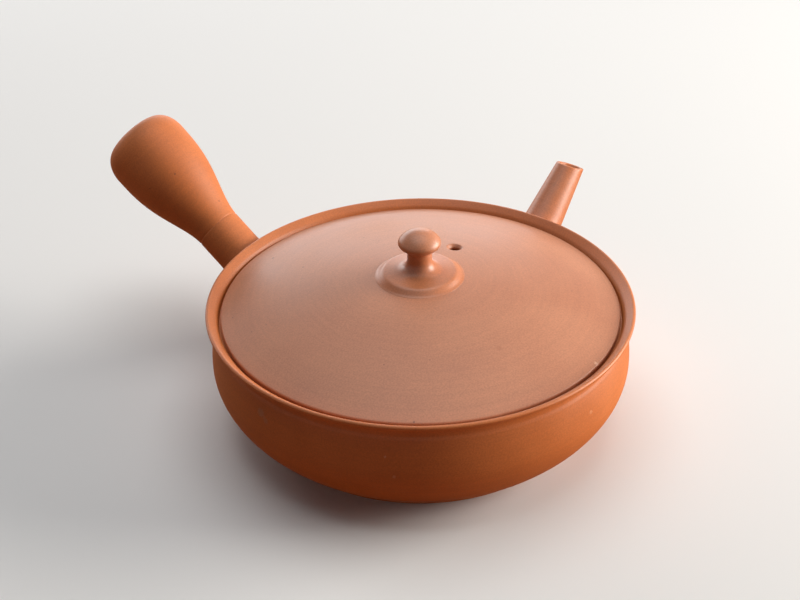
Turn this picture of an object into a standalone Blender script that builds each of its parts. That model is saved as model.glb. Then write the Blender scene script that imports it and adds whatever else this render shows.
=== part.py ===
"""Flat side-handled teapot in unglazed red clay, about 150 mm across its rim.

The pot is put together the way a potter luting thrown members would do it: a thrown body
with a ledge for the lid, a pierced dome over the spout hole, a tapered spout, a hollow
trumpet-shaped handle at a right angle to it, and a loose lid made of a low dome, a locating
ring under it and a turned knob on top.

The origin is the middle of the flat base. +Z is up, +X runs towards the spout and +Y
towards the handle. Blender's unit is the metre.
"""

import math

import bmesh
import bpy
from mathutils import Matrix, Vector

MM = 0.001

# The gap left between two members that touch on the real pot.
CLAY_GAP = 0.3 * MM
# How far a cutter runs past the faces that it opens.
CUT_OVERRUN = 4.0 * MM

# Thrown body, outside.
BODY_HEIGHT = 45.6 * MM
RIM_RADIUS = 75.0 * MM
BELLY_INSET = 1.1 * MM
BELLY_SHARE = 0.57
NECK_INSET = 3.2 * MM
NECK_DEPTH = 5.1 * MM
BASE_RADIUS = 56.6 * MM
FOOT_HEIGHT = 0.9 * MM
FOOT_CHAMFER = 0.4 * MM
FOOT_STEP = 0.3 * MM
RIM_EDGE_RADIUS = 0.65 * MM
RIM_EDGE_DEPTH = 1.9 * MM
RIM_EDGE_START = 110.0
RIM_EDGE_END = -50.0
NECK_COVE_START = 105.0

# Thrown body, inside.
WALL_THICKNESS = 3.2 * MM
FLOOR_THICKNESS = 3.4 * MM
FLOOR_INSET = 2.6 * MM
LEDGE_DEPTH = 4.6 * MM
LEDGE_WIDTH = 4.3 * MM
LEDGE_THICKNESS = 2.4 * MM
LEDGE_COVE = 4.0 * MM
LEDGE_CHAMFER = 0.5 * MM
SEAT_WALL_INSET = 4.3 * MM
SEAT_WALL_HEIGHT = 1.4 * MM
BEVEL_INSET = 3.7 * MM
BEVEL_DEPTH = 2.0 * MM

# Spout, measured along its own axis from the widest part of the body.
SPOUT_DEPTH = 16.1 * MM
SPOUT_RISE = math.radians(38.0)
SPOUT_LENGTH = 39.5 * MM
SPOUT_ROOT_RADIUS = 8.4 * MM
SPOUT_TIP_RADIUS = 5.4 * MM
SPOUT_FLARE = 2.6 * MM
SPOUT_FLARE_LENGTH = 15.0 * MM
SPOUT_ROOT_BORE = 6.4 * MM
SPOUT_TIP_BORE = 4.2 * MM
SPOUT_MOUTH_TILT = math.radians(60.0)

# Pierced dome inside the body, over the spout hole.
STRAINER_MARGIN = 4.2 * MM
STRAINER_CROWN = 78.0
STRAINER_THICKNESS = 1.5 * MM
STRAINER_HOLE_RADIUS = 0.9 * MM
STRAINER_HOLE_PITCH = 3.5 * MM
STRAINER_REACH_SHARE = 0.74

# Handle, measured along its own axis from the widest part of the body.
HANDLE_DEPTH = 15.1 * MM
HANDLE_RISE = math.radians(35.5)
HANDLE_LENGTH = 72.8 * MM
HANDLE_NECK_RADIUS = 8.8 * MM
HANDLE_GRIP_RADIUS = 16.1 * MM
HANDLE_ROOT_FLARE = 2.6 * MM
HANDLE_ROOT_FLARE_LENGTH = 13.0 * MM
HANDLE_CREASE_PLACE = 24.3 * MM
HANDLE_CREASE_WIDTH = 1.0 * MM
HANDLE_CREASE_DEPTH = 0.35 * MM
HANDLE_SHOULDER_LENGTH = 9.0 * MM
HANDLE_END_RADIUS = 10.2 * MM
HANDLE_HOLE_RADIUS = 7.6 * MM
HANDLE_WALL = 3.2 * MM

# Lid.
LID_CLEARANCE = 0.8 * MM
LID_EDGE_RADIUS = 2.2 * MM
LID_EDGE_DROP = 1.1 * MM
LID_EDGE_END = 84.0
LID_RISE = 11.45 * MM
LID_THICKNESS = 3.2 * MM
LID_SEAT_WIDTH = 3.0 * MM
LID_SEAT_CHAMFER = 0.5 * MM
VENT_PLACE = 24.2 * MM
VENT_TURN = math.radians(3.5)
VENT_BORE_RADIUS = 1.9 * MM
VENT_COUNTERSINK_RADIUS = 2.75 * MM
VENT_COUNTERSINK_DEPTH = 1.0 * MM

# Ring under the lid.
RING_CLEARANCE = 0.6 * MM
RING_THICKNESS = 3.0 * MM
RING_REACH = 3.2 * MM
RING_CHAMFER = 0.8 * MM

# Knob.
KNOB_DISC_RADIUS = 14.85 * MM
KNOB_DISC_TOP_RADIUS = 12.9 * MM
KNOB_DISC_THICKNESS = 1.7 * MM
KNOB_STEM_RADIUS = 4.3 * MM
KNOB_STEM_HEIGHT = 9.6 * MM
KNOB_FLARE_RADIUS = 5.6 * MM
KNOB_FLARE_HEIGHT = 4.4 * MM
KNOB_COLLAR_RADIUS = 4.9 * MM
KNOB_COLLAR_HEIGHT = 0.7 * MM
KNOB_HEAD_RADIUS = 7.45 * MM
KNOB_HEAD_HEIGHT = 12.0 * MM
KNOB_DOME_HEIGHT = 4.5 * MM
KNOB_DOME_START = 76.0
KNOB_DOME_END = 4.0
KNOB_EQUATOR_DROP = 0.35 * MM

# How round the turned members are.
BODY_STEPS = 64
SMALL_STEPS = 32

# Where the handle flares: shares of the way from the crease to the grip, and of the growth.
HANDLE_FLARE_SHARES = [(0.13, 0.11), (0.27, 0.34), (0.41, 0.59), (0.58, 0.81), (0.78, 0.95)]

CLAY_COLOR = (0.262, 0.082, 0.035, 1.0)
LID_CLAY_COLOR = (0.330, 0.118, 0.062, 1.0)
CLAY_ROUGHNESS = 0.42

AXIS_MERGE = 0.02 * MM

BELLY_RADIUS = RIM_RADIUS - BELLY_INSET
BELLY_HEIGHT = BODY_HEIGHT * BELLY_SHARE
NECK_RADIUS = RIM_RADIUS - NECK_INSET
NECK_HEIGHT = BODY_HEIGHT - NECK_DEPTH
SPOUT_HEIGHT = BODY_HEIGHT - SPOUT_DEPTH
HANDLE_HEIGHT = BODY_HEIGHT - HANDLE_DEPTH
STRAINER_RADIUS = SPOUT_ROOT_BORE + STRAINER_MARGIN
LEDGE_TOP = BODY_HEIGHT - LEDGE_DEPTH
SEAT_WALL_RADIUS = RIM_RADIUS - SEAT_WALL_INSET
LEDGE_RADIUS = SEAT_WALL_RADIUS - LEDGE_WIDTH
LID_RADIUS = SEAT_WALL_RADIUS - LID_CLEARANCE
LID_BOTTOM = LEDGE_TOP + CLAY_GAP


def remove_everything():
    """Empty the scene that the script was started in."""
    for thing in list(bpy.data.objects):
        bpy.data.objects.remove(thing, do_unlink=True)


def new_collection(name):
    """A collection linked under the scene's own."""
    collection = bpy.data.collections.new(name)
    bpy.context.scene.collection.children.link(collection)
    return collection


def clay(name, color, roughness=CLAY_ROUGHNESS):
    """Satin unglazed clay."""
    material = bpy.data.materials.new(name)
    material.use_nodes = True
    shader = material.node_tree.nodes["Principled BSDF"]
    shader.inputs["Base Color"].default_value = color
    shader.inputs["Roughness"].default_value = roughness
    shader.inputs["Metallic"].default_value = 0.0
    material.diffuse_color = color
    return material


def arc(centre, radii, start, end, count):
    """Points from start to end, in degrees, on an ellipse about centre."""
    points = []
    for index in range(count + 1):
        angle = math.radians(start + (end - start) * index / count)
        points.append((centre[0] + radii[0] * math.cos(angle), centre[1] + radii[1] * math.sin(angle)))
    return points


def turned(name, profile, steps, collection, closed=False):
    """Turn a profile of (radius, height) points about the object's own Z axis."""
    mesh = bpy.data.meshes.new(name)
    edges = [(index, index + 1) for index in range(len(profile) - 1)]
    if closed:
        edges.append((len(profile) - 1, 0))
    mesh.from_pydata([(radius, 0.0, height) for radius, height in profile], edges, [])
    item = bpy.data.objects.new(name, mesh)
    collection.objects.link(item)
    screw = item.modifiers.new("Turning", "SCREW")
    screw.axis = "Z"
    screw.angle = math.tau
    screw.steps = steps
    screw.render_steps = steps
    screw.use_merge_vertices = True
    screw.merge_threshold = AXIS_MERGE
    screw.use_smooth_shade = True
    return item


def boolean(item, cutter, operation="DIFFERENCE"):
    """Cut an object with another, or keep what the two share."""
    step = item.modifiers.new(operation.title() + " " + cutter.name, "BOOLEAN")
    step.operation = operation
    step.object = cutter
    step.solver = "EXACT"


def as_cutter(item):
    """Show a cutter as wires only."""
    item.hide_render = True
    item.display_type = "WIRE"
    return item


def solid_from(name, build, collection):
    """An object whose mesh is filled by a function that works on a bmesh."""
    mesh = bpy.data.meshes.new(name)
    shape = bmesh.new()
    build(shape)
    shape.to_mesh(mesh)
    shape.free()
    item = bpy.data.objects.new(name, mesh)
    collection.objects.link(item)
    return item


def lower_wall(height, foot_radius, foot_height, belly_radius):
    """Radius below the belly: a parabola that spreads from the foot and ends upright."""
    share = (height - foot_height) / (BELLY_HEIGHT - foot_height)
    return foot_radius + (belly_radius - foot_radius) * (1.0 - (1.0 - share) ** 2)


def upper_wall(height, inset):
    """Radius above the belly: the wall leans in to the neck, faster as it rises."""
    share = (height - BELLY_HEIGHT) / (NECK_HEIGHT - BELLY_HEIGHT)
    return BELLY_RADIUS - (BELLY_RADIUS - NECK_RADIUS) * share ** 2 - inset


def outer_wall(offset=0.0):
    """Outside of the body from the crest of the rim down to the base, moved out by offset."""
    edge_centre = (RIM_RADIUS - RIM_EDGE_RADIUS + offset, BODY_HEIGHT - RIM_EDGE_RADIUS)
    edge = (RIM_EDGE_RADIUS, RIM_EDGE_RADIUS)
    points = arc(edge_centre, edge, RIM_EDGE_START, RIM_EDGE_END, 5)
    lip_bottom = BODY_HEIGHT - RIM_EDGE_DEPTH
    cove_centre = (RIM_RADIUS - RIM_EDGE_RADIUS + offset, NECK_HEIGHT)
    cove = (RIM_RADIUS - RIM_EDGE_RADIUS - NECK_RADIUS, lip_bottom - NECK_HEIGHT)
    points += arc(cove_centre, cove, NECK_COVE_START, 180.0, 4)
    for index in range(1, 4):
        height = NECK_HEIGHT + (BELLY_HEIGHT - NECK_HEIGHT) * index / 3
        points.append((upper_wall(height, -offset), height))
    wall_foot = BASE_RADIUS - FOOT_STEP
    for index in range(1, 9):
        height = BELLY_HEIGHT + (FOOT_HEIGHT - BELLY_HEIGHT) * index / 8
        points.append((lower_wall(height, wall_foot, FOOT_HEIGHT, BELLY_RADIUS) + offset, height))
    points.append((BASE_RADIUS + offset, FOOT_HEIGHT - FOOT_STEP))
    points.append((BASE_RADIUS + offset, FOOT_CHAMFER))
    points.append((BASE_RADIUS - FOOT_CHAMFER + offset, 0.0))
    return points


def inner_wall(offset=0.0):
    """Inside of the body from the floor up to the underside of the ledge, moved out by offset."""
    floor_radius = BASE_RADIUS - FLOOR_INSET
    inside_radius = BELLY_RADIUS - WALL_THICKNESS
    points = []
    for index in range(7):
        height = FLOOR_THICKNESS + (BELLY_HEIGHT - FLOOR_THICKNESS) * index / 6
        radius = lower_wall(height, floor_radius, FLOOR_THICKNESS, inside_radius)
        points.append((radius + offset, height))
    cove_top = LEDGE_TOP - LEDGE_THICKNESS
    cove_bottom = cove_top - LEDGE_COVE
    middle = (BELLY_HEIGHT + cove_bottom) / 2
    points.append((upper_wall(middle, WALL_THICKNESS) + offset, middle))
    wall_radius = upper_wall(cove_bottom, WALL_THICKNESS)
    cove_width = wall_radius - LEDGE_RADIUS - LEDGE_CHAMFER
    cove_centre = (wall_radius - cove_width + offset, cove_bottom)
    points += arc(cove_centre, (cove_width, LEDGE_COVE), 0.0, 90.0, 3)
    points.append((LEDGE_RADIUS + offset, cove_top + LEDGE_CHAMFER))
    return points


def make_body(parts, cutters, material):
    """Thrown bowl with a ledge for the lid, a bevelled rim and the hole for the spout."""
    seat = [
        (LEDGE_RADIUS, LEDGE_TOP - LEDGE_CHAMFER),
        (LEDGE_RADIUS + LEDGE_CHAMFER, LEDGE_TOP),
        (SEAT_WALL_RADIUS, LEDGE_TOP),
        (SEAT_WALL_RADIUS, LEDGE_TOP + SEAT_WALL_HEIGHT),
        (RIM_RADIUS - BEVEL_INSET, BODY_HEIGHT - BEVEL_DEPTH),
    ]
    profile = [(0.0, FLOOR_THICKNESS)] + inner_wall() + seat + outer_wall() + [(0.0, 0.0)]
    body = turned("pot_body", profile, BODY_STEPS, parts)
    body.data.materials.append(material)

    def hole(shape):
        bmesh.ops.create_cone(
            shape, cap_ends=True, segments=SMALL_STEPS, radius1=SPOUT_ROOT_BORE,
            radius2=SPOUT_ROOT_BORE, depth=2.0 * (WALL_THICKNESS + CUT_OVERRUN),
        )

    drill = as_cutter(solid_from("spout_hole_drill", hole, cutters))
    drill.matrix_world = along(SPOUT_RISE, 0.0, SPOUT_HEIGHT)
    boolean(body, drill)
    return body


def along(rise, turn, height):
    """Place an object's Z axis along a member that leaves the belly, rising, at a bearing."""
    out = Matrix.Rotation(turn, 4, "Z")
    start = out @ Vector((BELLY_RADIUS, 0.0, height))
    lean = Matrix.Rotation(math.pi / 2 - rise, 4, "Y")
    return Matrix.Translation(start) @ out @ lean


def make_envelope(cutters):
    """Solid of the body's outside plus the clay gap, which trims the spout and the handle."""
    profile = [(0.0, BODY_HEIGHT)] + outer_wall(CLAY_GAP) + [(0.0, 0.0)]
    return as_cutter(turned("body_envelope", profile, BODY_STEPS, cutters))


def root_length(radius, rise):
    """How far behind the belly a member of this radius has to start to be trimmed all round."""
    return radius * math.tan(rise) + radius + CUT_OVERRUN


def make_spout(parts, cutters, envelope, material):
    """Tapered spout, flared at its root, with its mouth cut off at a slant."""
    behind = root_length(SPOUT_ROOT_RADIUS + SPOUT_FLARE, SPOUT_RISE)
    mouth_reach = SPOUT_TIP_RADIUS * math.tan(SPOUT_MOUTH_TILT - SPOUT_RISE)
    end = SPOUT_LENGTH + mouth_reach + CUT_OVERRUN

    def taper(place, root, tip):
        return root + (tip - root) * place / SPOUT_LENGTH

    profile = [
        (taper(end, SPOUT_ROOT_BORE, SPOUT_TIP_BORE), end),
        (taper(end, SPOUT_ROOT_RADIUS, SPOUT_TIP_RADIUS), end),
    ]
    for index in range(7):
        place = SPOUT_FLARE_LENGTH * (1.0 - index / 6)
        flare = SPOUT_FLARE * (index / 6) ** 2
        profile.append((taper(place, SPOUT_ROOT_RADIUS, SPOUT_TIP_RADIUS) + flare, place))
    profile.append((SPOUT_ROOT_RADIUS + SPOUT_FLARE, -behind))
    profile.append((SPOUT_ROOT_BORE, -behind))
    profile.append((SPOUT_ROOT_BORE, 0.0))
    spout = turned("spout", profile, SMALL_STEPS, parts, closed=True)
    spout.matrix_world = along(SPOUT_RISE, 0.0, SPOUT_HEIGHT)
    spout.data.materials.append(material)
    boolean(spout, envelope)

    size = 4.0 * SPOUT_ROOT_RADIUS + mouth_reach + CUT_OVERRUN

    def cube(shape):
        bmesh.ops.create_cube(shape, size=size)

    block = as_cutter(solid_from("spout_mouth_block", cube, cutters))
    mouth = along(SPOUT_RISE, 0.0, SPOUT_HEIGHT) @ Vector((0.0, 0.0, SPOUT_LENGTH))
    tilt = Matrix.Rotation(math.pi / 2 - SPOUT_MOUTH_TILT, 4, "Y")
    block.matrix_world = Matrix.Translation(mouth) @ tilt @ Matrix.Translation((0.0, 0.0, size / 2))
    boolean(spout, block)
    return spout


def make_strainer(parts, cutters, material):
    """Pierced half ball of clay that keeps the leaves out of the spout."""
    inside_radius = BELLY_RADIUS - WALL_THICKNESS
    drop = WALL_THICKNESS * math.tan(SPOUT_RISE)
    hollow = STRAINER_RADIUS - STRAINER_THICKNESS
    back = STRAINER_RADIUS / 2
    profile = [(0.0, STRAINER_RADIUS)]
    profile += arc((0.0, 0.0), (STRAINER_RADIUS, STRAINER_RADIUS), STRAINER_CROWN, 0.0, 6)
    profile += [(STRAINER_RADIUS, -back), (hollow, -back)]
    profile += arc((0.0, 0.0), (hollow, hollow), 0.0, STRAINER_CROWN, 6)
    profile.append((0.0, hollow))
    strainer = turned("strainer", profile, SMALL_STEPS, parts)
    place = Matrix.Translation((inside_radius, 0.0, SPOUT_HEIGHT - drop))
    strainer.matrix_world = place @ Matrix.Rotation(-math.pi / 2, 4, "Y")
    strainer.data.materials.append(material)

    def holes(shape):
        pitch_angle = STRAINER_HOLE_PITCH / STRAINER_RADIUS
        rows = int(STRAINER_REACH_SHARE * math.pi / 2 / pitch_angle)
        for row in range(rows + 1):
            lean = row * pitch_angle
            count = max(1, int(math.tau * STRAINER_RADIUS * math.sin(lean) / STRAINER_HOLE_PITCH))
            for index in range(count):
                bearing = math.tau * (index + 0.5 * (row % 2)) / count
                turn = Matrix.Rotation(bearing, 4, "Z") @ Matrix.Rotation(lean, 4, "Y")
                lift = Matrix.Translation((0.0, 0.0, STRAINER_RADIUS - STRAINER_THICKNESS / 2))
                bmesh.ops.create_cone(
                    shape, cap_ends=True, segments=6, radius1=STRAINER_HOLE_RADIUS,
                    radius2=STRAINER_HOLE_RADIUS, depth=2.0 * STRAINER_THICKNESS, matrix=turn @ lift,
                )

    needles = as_cutter(solid_from("strainer_needles", holes, cutters))
    needles.matrix_world = strainer.matrix_world.copy()
    boolean(strainer, needles)

    cove_top = LEDGE_TOP - LEDGE_THICKNESS
    plug_profile = [(0.0, cove_top)] + inner_wall(-CLAY_GAP)[::-1] + [(0.0, FLOOR_THICKNESS + CLAY_GAP)]
    plug = as_cutter(turned("inside_plug", plug_profile, BODY_STEPS, cutters))
    boolean(strainer, plug, "INTERSECT")
    return strainer


def make_handle(parts, envelope, material):
    """Hollow handle, narrow at a turned crease and swelling to a round-shouldered end."""
    behind = root_length(HANDLE_NECK_RADIUS + HANDLE_ROOT_FLARE, HANDLE_RISE)
    shoulder = HANDLE_LENGTH - HANDLE_SHOULDER_LENGTH
    half_crease = HANDLE_CREASE_WIDTH / 2
    flare_start = HANDLE_CREASE_PLACE + half_crease
    growth = HANDLE_GRIP_RADIUS - HANDLE_NECK_RADIUS
    lip = (HANDLE_END_RADIUS - HANDLE_HOLE_RADIUS) / 2
    swell = [
        (HANDLE_NECK_RADIUS + growth * size, flare_start + (shoulder - flare_start) * way)
        for way, size in HANDLE_FLARE_SHARES
    ]
    shoulder_arc = arc(
        (HANDLE_END_RADIUS, shoulder),
        (HANDLE_GRIP_RADIUS - HANDLE_END_RADIUS, HANDLE_SHOULDER_LENGTH), 90.0, 0.0, 6,
    )
    rolled = arc((HANDLE_HOLE_RADIUS + lip, HANDLE_LENGTH - lip), (lip, lip), 180.0, 90.0, 3)
    hollow_shoulder = arc(
        (HANDLE_HOLE_RADIUS, shoulder),
        (HANDLE_GRIP_RADIUS - HANDLE_WALL - HANDLE_HOLE_RADIUS, HANDLE_SHOULDER_LENGTH - HANDLE_WALL),
        0.0, 90.0, 3,
    )
    inside = [(radius - HANDLE_WALL, place) for radius, place in swell]
    bore = HANDLE_NECK_RADIUS - HANDLE_WALL
    profile = rolled + shoulder_arc + swell[::-1]
    profile.append((HANDLE_NECK_RADIUS, flare_start))
    profile.append((HANDLE_NECK_RADIUS - HANDLE_CREASE_DEPTH, HANDLE_CREASE_PLACE))
    profile.append((HANDLE_NECK_RADIUS, HANDLE_CREASE_PLACE - half_crease))
    for index in range(6):
        place = HANDLE_ROOT_FLARE_LENGTH * (1.0 - index / 5)
        profile.append((HANDLE_NECK_RADIUS + HANDLE_ROOT_FLARE * (index / 5) ** 2, place))
    profile.append((HANDLE_NECK_RADIUS + HANDLE_ROOT_FLARE, -behind))
    profile += [(bore, -behind), (bore, flare_start)] + inside + hollow_shoulder
    handle = turned("handle", profile, SMALL_STEPS, parts, closed=True)
    handle.matrix_world = along(HANDLE_RISE, math.pi / 2, HANDLE_HEIGHT)
    handle.data.materials.append(material)
    boolean(handle, envelope)
    return handle


def lid_top(radius):
    """Height of the lid's upper face: a parabola, nearly the cap of a large sphere."""
    flat_radius = LID_RADIUS - LID_EDGE_RADIUS
    edge_height = BODY_HEIGHT - LID_EDGE_DROP
    return edge_height + LID_RISE * (1.0 - (radius / flat_radius) ** 2)


def make_lid(parts, cutters, parent, material):
    """Low domed lid with a turned-down edge, a flat seat and a steam hole."""
    flat_radius = LID_RADIUS - LID_EDGE_RADIUS
    edge_height = BODY_HEIGHT - LID_EDGE_DROP
    seat_inner = LID_RADIUS - LID_SEAT_WIDTH
    profile = [(0.0, lid_top(0.0) - LID_THICKNESS)]
    for index in range(1, 6):
        radius = (seat_inner - LID_SEAT_CHAMFER) * index / 5
        profile.append((radius, lid_top(radius) - LID_THICKNESS))
    profile.append((seat_inner, LID_BOTTOM))
    profile.append((LID_RADIUS - LID_SEAT_CHAMFER, LID_BOTTOM))
    profile.append((LID_RADIUS, LID_BOTTOM + LID_SEAT_CHAMFER))
    edge = (LID_EDGE_RADIUS, min(LID_EDGE_RADIUS, edge_height - LID_BOTTOM - LID_SEAT_CHAMFER))
    profile += arc((flat_radius, edge_height - edge[1]), edge, 0.0, LID_EDGE_END, 4)
    for index in range(1, 7):
        radius = flat_radius * (1.0 - index / 6)
        profile.append((radius, lid_top(radius)))
    lid = turned("lid", profile[::-1], BODY_STEPS, parts)
    lid.data.materials.append(material)
    lid.parent = parent

    def vent(shape):
        top = lid_top(VENT_PLACE)
        depth = LID_THICKNESS + 2.0 * CUT_OVERRUN
        bore_middle = Matrix.Translation((VENT_PLACE, 0.0, top - LID_THICKNESS / 2))
        bmesh.ops.create_cone(
            shape, cap_ends=True, segments=SMALL_STEPS // 2, radius1=VENT_BORE_RADIUS,
            radius2=VENT_BORE_RADIUS, depth=depth, matrix=bore_middle,
        )

    def countersink(shape):
        top = lid_top(VENT_PLACE)
        slope = (VENT_COUNTERSINK_RADIUS - VENT_BORE_RADIUS) / VENT_COUNTERSINK_DEPTH
        height = VENT_COUNTERSINK_DEPTH + CUT_OVERRUN
        middle = Matrix.Translation((VENT_PLACE, 0.0, top - VENT_COUNTERSINK_DEPTH + height / 2))
        bmesh.ops.create_cone(
            shape, cap_ends=True, segments=SMALL_STEPS // 2, radius1=VENT_BORE_RADIUS,
            radius2=VENT_BORE_RADIUS + slope * height, depth=height, matrix=middle,
        )

    for name, build in (("vent_drill", vent), ("vent_countersink", countersink)):
        cutter = as_cutter(solid_from(name, build, cutters))
        cutter.matrix_world = Matrix.Rotation(VENT_TURN, 4, "Z")
        boolean(lid, cutter)
    return lid


def make_ring(parts, parent, material):
    """Locating ring luted under the lid, which keeps it in the mouth of the pot."""
    outer = LEDGE_RADIUS - RING_CLEARANCE
    inner = outer - RING_THICKNESS
    bottom = LEDGE_TOP - RING_REACH
    profile = [
        (inner, lid_top(inner) - LID_THICKNESS - CLAY_GAP),
        (outer, lid_top(outer) - LID_THICKNESS - CLAY_GAP),
        (outer, bottom + RING_CHAMFER),
        (outer - RING_CHAMFER, bottom),
        (inner + RING_CHAMFER, bottom),
        (inner, bottom + RING_CHAMFER),
    ]
    ring = turned("lid_ring", profile, BODY_STEPS, parts, closed=True)
    ring.data.materials.append(material)
    ring.parent = parent
    return ring


def make_knob(parts, parent, material):
    """Turned knob: a disc that beds on the lid, a waisted stem and a lens-shaped head."""
    base = lid_top(0.0) + CLAY_GAP
    disc_top = lid_top(KNOB_DISC_RADIUS) + CLAY_GAP + KNOB_DISC_THICKNESS
    equator = base + KNOB_HEAD_HEIGHT
    stem_top = base + KNOB_STEM_HEIGHT
    profile = [(0.0, equator + KNOB_DOME_HEIGHT)]
    dome = (KNOB_HEAD_RADIUS, KNOB_DOME_HEIGHT)
    profile += arc((0.0, equator), dome, KNOB_DOME_START, KNOB_DOME_END, 5)
    profile.append((KNOB_HEAD_RADIUS, equator - KNOB_EQUATOR_DROP))
    profile.append((KNOB_COLLAR_RADIUS, stem_top + KNOB_COLLAR_HEIGHT))
    profile.append((KNOB_COLLAR_RADIUS, stem_top))
    profile.append((KNOB_STEM_RADIUS, stem_top - KNOB_COLLAR_HEIGHT))
    flare_top = base + KNOB_FLARE_HEIGHT + KNOB_COLLAR_HEIGHT
    profile.append((KNOB_STEM_RADIUS, flare_top))
    profile.append((KNOB_FLARE_RADIUS, base + KNOB_FLARE_HEIGHT - KNOB_COLLAR_HEIGHT))
    profile.append((KNOB_FLARE_RADIUS + KNOB_COLLAR_HEIGHT, disc_top + KNOB_COLLAR_HEIGHT))
    profile.append((KNOB_DISC_TOP_RADIUS, disc_top))
    for index in range(4):
        radius = KNOB_DISC_RADIUS * (1.0 - index / 4)
        profile.append((radius, lid_top(radius) + CLAY_GAP))
    profile.append((0.0, base))
    knob = turned("lid_knob", profile, SMALL_STEPS, parts)
    knob.data.materials.append(material)
    knob.parent = parent
    return knob


def main():
    remove_everything()
    parts = new_collection("side_handled_teapot")
    cutters = new_collection("cutters")
    body_clay = clay("red_clay_body", CLAY_COLOR)
    lid_clay = clay("red_clay_lid", LID_CLAY_COLOR)
    make_body(parts, cutters, body_clay)
    envelope = make_envelope(cutters)
    make_spout(parts, cutters, envelope, clay("red_clay_spout", CLAY_COLOR))
    make_strainer(parts, cutters, clay("red_clay_strainer", CLAY_COLOR))
    make_handle(parts, envelope, clay("red_clay_handle", CLAY_COLOR))
    lift_axis = bpy.data.objects.new("lid_lift_axis", None)
    parts.objects.link(lift_axis)
    make_lid(parts, cutters, lift_axis, lid_clay)
    make_ring(parts, lift_axis, clay("red_clay_ring", LID_CLAY_COLOR))
    make_knob(parts, lift_axis, clay("red_clay_knob", LID_CLAY_COLOR))
    bpy.context.view_layer.update()


main()
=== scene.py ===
"""Flat side-handled teapot in unglazed red clay, dressed over its CAD frame.

Every visible piece but the strainer is worked out here as a smooth surface and stands for the
CAD node of the same member. Lengths are in metres, and the heights and radii that decide the
rest are read from the frame.
"""

import math

import bpy
import numpy as np
from mathutils import Matrix, Vector


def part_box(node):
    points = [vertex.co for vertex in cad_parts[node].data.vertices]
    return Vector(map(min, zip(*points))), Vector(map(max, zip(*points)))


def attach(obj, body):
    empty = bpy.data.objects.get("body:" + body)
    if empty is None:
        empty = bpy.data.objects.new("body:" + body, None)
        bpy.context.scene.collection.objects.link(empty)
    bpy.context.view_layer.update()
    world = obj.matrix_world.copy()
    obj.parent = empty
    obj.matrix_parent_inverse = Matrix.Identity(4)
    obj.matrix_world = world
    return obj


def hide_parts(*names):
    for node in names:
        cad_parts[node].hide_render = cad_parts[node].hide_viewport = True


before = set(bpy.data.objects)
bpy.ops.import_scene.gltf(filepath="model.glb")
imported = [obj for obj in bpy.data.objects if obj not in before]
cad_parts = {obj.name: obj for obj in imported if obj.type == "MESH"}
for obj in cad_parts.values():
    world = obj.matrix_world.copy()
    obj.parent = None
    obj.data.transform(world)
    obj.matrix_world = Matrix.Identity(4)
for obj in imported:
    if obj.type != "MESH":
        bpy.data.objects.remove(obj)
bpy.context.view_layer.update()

MM = 0.001
TURN = math.tau


# Thrown body. A shallow bowl of red stoneware clay, thrown on the wheel in one piece, with a
# ledge inside the rim for the lid. Its outside was trimmed and burnished leather-hard, and a
# hole was cut through the wall for the spout.
RIM_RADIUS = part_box("pot_body")[1].x
BODY_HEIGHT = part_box("pot_body")[1].z
BELLY_RADIUS = RIM_RADIUS - 1.1 * MM
BELLY_HEIGHT = BODY_HEIGHT * 0.57
NECK_LEAN = 2.1 * MM
NECK_HEIGHT = BODY_HEIGHT - 5.1 * MM
RIM_EDGE = 0.8 * MM
CREST_IN = RIM_EDGE * 1.64
CREST_DROP = RIM_EDGE * 0.23
COVE_MIDDLE = RIM_RADIUS - 0.8 * MM
COVE_RADII = (2.4 * MM, 3.2 * MM)
BASE_RADIUS = 56.6 * MM
FOOT_HEIGHT = 0.9 * MM
FOOT_STEP = 0.3 * MM
FOOT_EDGE = 0.4 * MM
FOOT_ROUND = 0.2 * MM
BASE_FLAT = BASE_RADIUS - 2.0 * MM
WALL = 3.2 * MM
FLOOR_TOP = 3.4 * MM
FLOOR_RADIUS = BASE_RADIUS - 2.6 * MM
FLOOR_FLAT = FLOOR_RADIUS - 6.0 * MM
FLOOR_ROUND = 2.5 * MM
LEDGE_TOP = BODY_HEIGHT - 4.6 * MM
LEDGE_BOTTOM = LEDGE_TOP - 2.4 * MM
LEDGE_COVE = 4.0 * MM
LEDGE_LIP = 0.6 * MM
NOSE_ROUND = 0.5 * MM
SEAT_ROUND = 0.4 * MM
BEVEL_ROUND = 0.3 * MM
CREST_ROUND = 0.5 * MM
SEAT_RADIUS = RIM_RADIUS - 4.3 * MM
SEAT_WALL_TOP = LEDGE_TOP + 1.2 * MM
LEDGE_RADIUS = SEAT_RADIUS - 4.3 * MM
BEVEL_RADIUS = RIM_RADIUS - 3.4 * MM
BEVEL_HEIGHT = BODY_HEIGHT - 1.95 * MM
BODY_STEPS = 256
SPOUT_BORE = 6.4 * MM
SPOUT_RISE = math.radians(38.0)
SPOUT_HEIGHT = BODY_HEIGHT - 16.1 * MM
# Half the width and height of the window for the spout's hole, in steps of the body's grid.
HOLE_STEPS = 6
HOLE_ROWS = 15
# A member meets the body within this length either side of its start.
MEMBER_REACH = 22.0 * MM
HALVINGS = 44
BODY_CLAY = "#B8642E"
BODY_CLAY_PALE = "#C26D36"
IRON = "#3A1A10"
CLAY_IOR = 1.5
MARK_SPACING = 1.4 * MM
CLOUD_WIDTH = 30 * MM
GRAIN_WIDTH = 0.55 * MM
GRAIN_HEIGHT = 0.008 * MM
SPECK_SPACING = 5 * MM


def arc(centre, radii, start, end, count):
    """Points of an ellipse about centre, from start to end in degrees: r cos a, z sin a."""
    angle = np.radians(np.linspace(start, end, count))
    across, up = centre[0] + radii[0] * np.cos(angle), centre[1] + radii[1] * np.sin(angle)
    return np.stack([across, up], axis=-1)


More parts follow.
